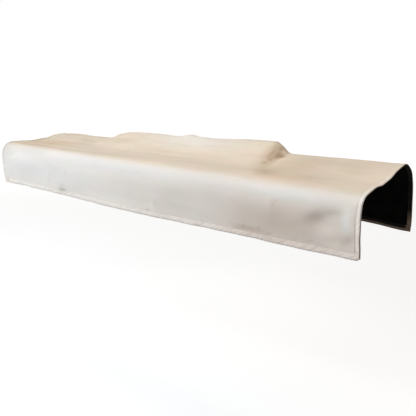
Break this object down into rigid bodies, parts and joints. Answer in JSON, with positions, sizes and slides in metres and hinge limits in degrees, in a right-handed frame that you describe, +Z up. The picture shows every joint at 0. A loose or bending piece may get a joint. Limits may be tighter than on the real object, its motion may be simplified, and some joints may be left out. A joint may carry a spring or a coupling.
{
  "type": "keyboard dust cover",
  "caption": "long draped canvas dust cover, open at both ends and below, with turned hems, a raised ridge and a hemmed slit along it",
  "frame": {"origin": "on the underside of the top at mid-length and mid-depth, where the keyboard's top carries the cloth", "axes": "+X along the cover's length, +Y from the front skirt to the back skirt, +Z up"},
  "size_m": [1.407, 0.3731, 0.2325],
  "materials": {
    "canvas": "cream canvas with a dark coated reverse"
  },
  "bodies": {
    "root": {"cover": "canvas"}
  },
  "joints": []
}
